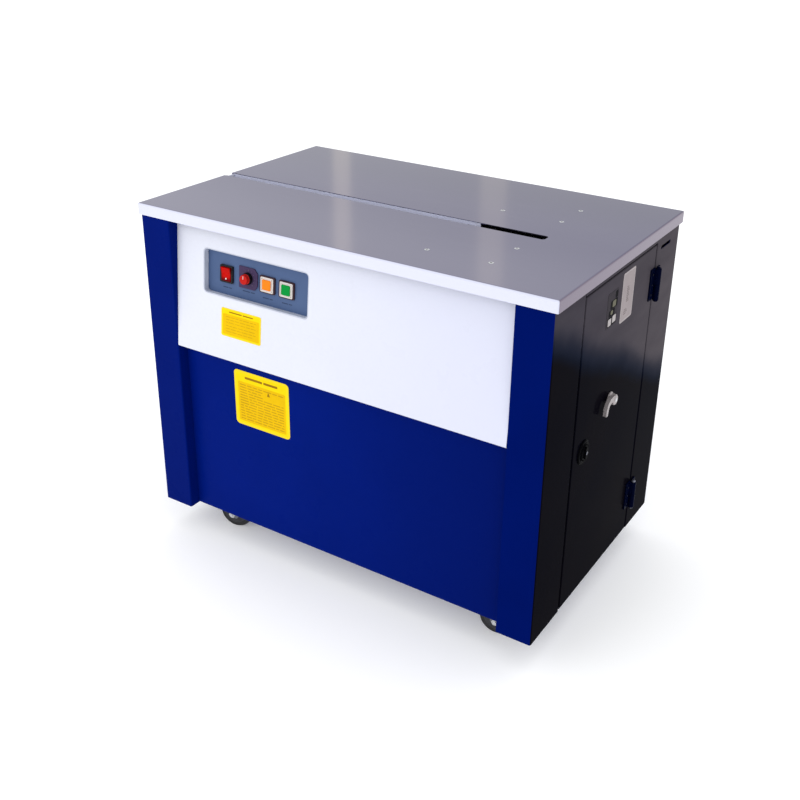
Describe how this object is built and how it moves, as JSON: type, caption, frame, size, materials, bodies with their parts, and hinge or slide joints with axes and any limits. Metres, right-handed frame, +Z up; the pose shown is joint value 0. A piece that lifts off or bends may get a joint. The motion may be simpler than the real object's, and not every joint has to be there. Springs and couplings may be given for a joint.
{
  "type": "semi automatic strapping machine",
  "caption": "High-table strapping machine: steel cabinet on swivel casters, slotted stainless table over a feed and heat-seal head, sloping control panel, hinged side door.",
  "frame": {"origin": "on the floor, under the centre of the bounding box", "axes": "+X along the table towards the door side, +Y towards the back, +Z up; the control panel faces -Y"},
  "size_m": [0.9028, 0.571, 0.735],
  "materials": {
    "navy_body": "gloss powder coat, royal navy",
    "white_panel": "gloss powder coat, cool white",
    "brushed_top": "stainless sheet, brushed along its length",
    "gloss_side": "very dark navy, glossy enough to mirror its surroundings",
    "control_plate": "satin slate blue",
    "black_plastic": "moulded, fine grain",
    "red_rocker": "glossy, translucent look",
    "red_knob": "glossy cap on a black collar",
    "dial_plate": "satin dark purple",
    "orange_lens": "lens, lightly frosted",
    "green_lens": "lens, lightly frosted",
    "zinc_steel": "zinc plated",
    "machined_steel": "ground tool steel",
    "grey_lever": "die cast, light grey, worn to bright edges",
    "hinge_dark": "gloss paint over steel",
    "cast_frame": "painted casting",
    "cast_housing": "sand cast",
    "roller_aluminium": "turned",
    "belt_rubber": "matt, toothed",
    "caster_tyre": "moulded, dusty"
  },
  "bodies": {
    "cabinet": {"table_top": "brushed_top", "front_right_post": "navy_body", "front_left_post": "navy_body", "rear_left_post": "navy_body", "rear_right_post": "navy_body", "lower_front_panel": "navy_body", "upper_front_panel": "white_panel", "left_side_panel": "navy_body", "rear_panel": "navy_body", "door_header": "gloss_side", "base_frame": "navy_body", "base_plate": "navy_body", "control_tray": "control_plate", "rocker_bezel": "black_plastic", "dial_plate": "dial_plate", "reset_button_bezel": "black_plastic", "feed_button_bezel": "black_plastic", "upper_hinge_bracket": "hinge_dark", "lower_hinge_bracket": "hinge_dark", "mechanism_deck": "navy_body", "head_frame": "cast_frame", "gear_reducer": "cast_housing", "drive_motor": "cast_frame", "drive_belt": "belt_rubber", "strap_pool": "zinc_steel", "reel_stand": "zinc_steel", "electrical_box": "zinc_steel", "power_inlet": "black_plastic"},
    "door": {"side_door": "gloss_side", "upper_hinge_knuckle": "hinge_dark", "lower_hinge_knuckle": "hinge_dark", "latch_rosette": "black_plastic", "bolt_guide": "zinc_steel"},
    "latch": {"latch_knob": "black_plastic"},
    "lever": {"door_lever": "grey_lever"},
    "bolt": {"door_bolt": "zinc_steel"},
    "rocker": {"rocker_switch": "red_rocker"},
    "dial": {"feed_length_dial": "red_knob"},
    "reset_key": {"reset_button": "orange_lens"},
    "feed_key": {"feed_button": "green_lens"},
    "camshaft": {"camshaft": "machined_steel"},
    "left_grip": {"left_gripper": "machined_steel"},
    "press": {"press_block": "machined_steel"},
    "right_grip": {"right_gripper": "machined_steel"},
    "heater": {"heater_blade": "machined_steel"},
    "anvil": {"slide_plate": "machined_steel"},
    "feed_drive": {"feed_roller": "roller_aluminium"},
    "pinch": {"pinch_roller": "belt_rubber"},
    "motor_shaft": {"motor_pulley": "roller_aluminium"},
    "reel": {"strap_reel": "black_plastic", "reel_flange": "black_plastic"},
    "brake": {"brake_arm": "zinc_steel"},
    "front_left_swivel": {"front_left_caster_fork": "zinc_steel"},
    "front_left_wheel": {"front_left_caster_wheel": "caster_tyre"},
    "front_right_swivel": {"front_right_caster_fork": "zinc_steel"},
    "front_right_wheel": {"front_right_caster_wheel": "caster_tyre"},
    "rear_left_swivel": {"rear_left_caster_fork": "zinc_steel"},
    "rear_left_wheel": {"rear_left_caster_wheel": "caster_tyre"},
    "rear_right_swivel": {"rear_right_caster_fork": "zinc_steel"},
    "rear_right_wheel": {"rear_right_caster_wheel": "caster_tyre"}
  },
  "joints": [
    {"name": "door_hinge", "type": "hinge", "parent": "cabinet", "child": "door", "pos_m": [0.44545, 0.164, 0.385], "axis": [0, 0, 1], "range_deg": [0, 110]},
    {"name": "latch_turn", "type": "hinge", "parent": "door", "child": "latch", "pos_m": [0.43825, -0.118, 0.388], "axis": [1, 0, 0], "range_deg": [-90, 0]},
    {"name": "lever_turn", "type": "hinge", "parent": "door", "child": "lever", "pos_m": [0.43825, -0.01, 0.45], "axis": [1, 0, 0], "range_deg": [0, 60]},
    {"name": "bolt_slide", "type": "slide", "parent": "door", "child": "bolt", "axis": [0, -1, 0], "range_m": [0, 0.012]},
    {"name": "rocker_tip", "type": "hinge", "parent": "cabinet", "child": "rocker", "pos_m": [-0.25655, -0.25775, 0.62099], "axis": [1, 0, 0], "range_deg": [-14, 0]},
    {"name": "dial_turn", "type": "hinge", "parent": "cabinet", "child": "dial", "pos_m": [-0.20395, -0.26354, 0.62353], "axis": [0, 0.9957, -0.0927], "range_deg": [-140, 140]},
    {"name": "reset_press", "type": "slide", "parent": "cabinet", "child": "reset_key", "axis": [0, 0.9957, -0.0927], "range_m": [0, 0.003], "stiffness_N_per_m": 600, "springref_m": -0.001},
    {"name": "feed_press", "type": "slide", "parent": "cabinet", "child": "feed_key", "axis": [0, 0.9957, -0.0927], "range_m": [0, 0.003], "stiffness_N_per_m": 600, "springref_m": -0.001},
    {"name": "cam_spin", "type": "hinge", "parent": "cabinet", "child": "camshaft", "pos_m": [0.22605, -0.024, 0.59], "axis": [1, 0, 0], "continuous": true},
    {"name": "left_grip_lift", "type": "slide", "parent": "cabinet", "child": "left_grip", "axis": [0, 0, 1], "range_m": [0, 0.016]},
    {"name": "press_lift", "type": "slide", "parent": "cabinet", "child": "press", "axis": [0, 0, 1], "range_m": [0, 0.016]},
    {"name": "right_grip_lift", "type": "slide", "parent": "cabinet", "child": "right_grip", "axis": [0, 0, 1], "range_m": [0, 0.016]},
    {"name": "heater_slide", "type": "slide", "parent": "cabinet", "child": "heater", "axis": [0, -1, 0], "range_m": [0, 0.024]},
    {"name": "slide_plate_slide", "type": "slide", "parent": "cabinet", "child": "anvil", "axis": [0, 1, 0], "range_m": [0, 0.022]},
    {"name": "feed_spin", "type": "hinge", "parent": "cabinet", "child": "feed_drive", "pos_m": [0.34605, -0.024, 0.668], "axis": [0, 1, 0], "continuous": true},
    {"name": "pinch_spin", "type": "hinge", "parent": "cabinet", "child": "pinch", "pos_m": [0.34605, -0.024, 0.7078], "axis": [0, 1, 0], "continuous": true},
    {"name": "motor_spin", "type": "hinge", "parent": "cabinet", "child": "motor_shaft", "pos_m": [0.23105, 0.056, 0.572], "axis": [0, 1, 0], "continuous": true},
    {"name": "reel_spin", "type": "hinge", "parent": "cabinet", "child": "reel", "pos_m": [0.20605, 0, 0.3], "axis": [1, 0, 0], "continuous": true},
    {"name": "brake_swing", "type": "hinge", "parent": "cabinet", "child": "brake", "pos_m": [0.19205, 0.175, 0.3], "axis": [1, 0, 0], "range_deg": [-18, 1]},
    {"name": "front_left_swivel_turn", "type": "hinge", "parent": "cabinet", "child": "front_left_swivel", "pos_m": [-0.33995, -0.202, 0.09], "axis": [0, 0, 1], "continuous": true},
    {"name": "front_left_wheel_spin", "type": "hinge", "parent": "front_left_swivel", "child": "front_left_wheel", "pos_m": [-0.31828, -0.19818, 0.0375], "axis": [-0.1736, 0.9848, 0], "continuous": true},
    {"name": "front_right_swivel_turn", "type": "hinge", "parent": "cabinet", "child": "front_right_swivel", "pos_m": [0.31205, -0.204, 0.09], "axis": [0, 0, 1], "continuous": true},
    {"name": "front_right_wheel_spin", "type": "hinge", "parent": "front_right_swivel", "child": "front_right_wheel", "pos_m": [0.33372, -0.20018, 0.0375], "axis": [-0.1736, 0.9848, 0], "continuous": true},
    {"name": "rear_left_swivel_turn", "type": "hinge", "parent": "cabinet", "child": "rear_left_swivel", "pos_m": [-0.33995, 0.202, 0.09], "axis": [0, 0, 1], "continuous": true},
    {"name": "rear_left_wheel_spin", "type": "hinge", "parent": "rear_left_swivel", "child": "rear_left_wheel", "pos_m": [-0.31828, 0.20582, 0.0375], "axis": [-0.1736, 0.9848, 0], "continuous": true},
    {"name": "rear_right_swivel_turn", "type": "hinge", "parent": "cabinet", "child": "rear_right_swivel", "pos_m": [0.31205, 0.204, 0.09], "axis": [0, 0, 1], "continuous": true},
    {"name": "rear_right_wheel_spin", "type": "hinge", "parent": "rear_right_swivel", "child": "rear_right_wheel", "pos_m": [0.33372, 0.20782, 0.0375], "axis": [-0.1736, 0.9848, 0], "continuous": true}
  ],
  "couplings": [
    {"joint": "bolt_slide", "follows": "lever_turn", "m_per_rad": 0.011},
    {"joint": "pinch_spin", "follows": "feed_spin", "ratio": -1.7857},
    {"joint": "motor_spin", "follows": "feed_spin", "ratio": 1.5}
  ]
}
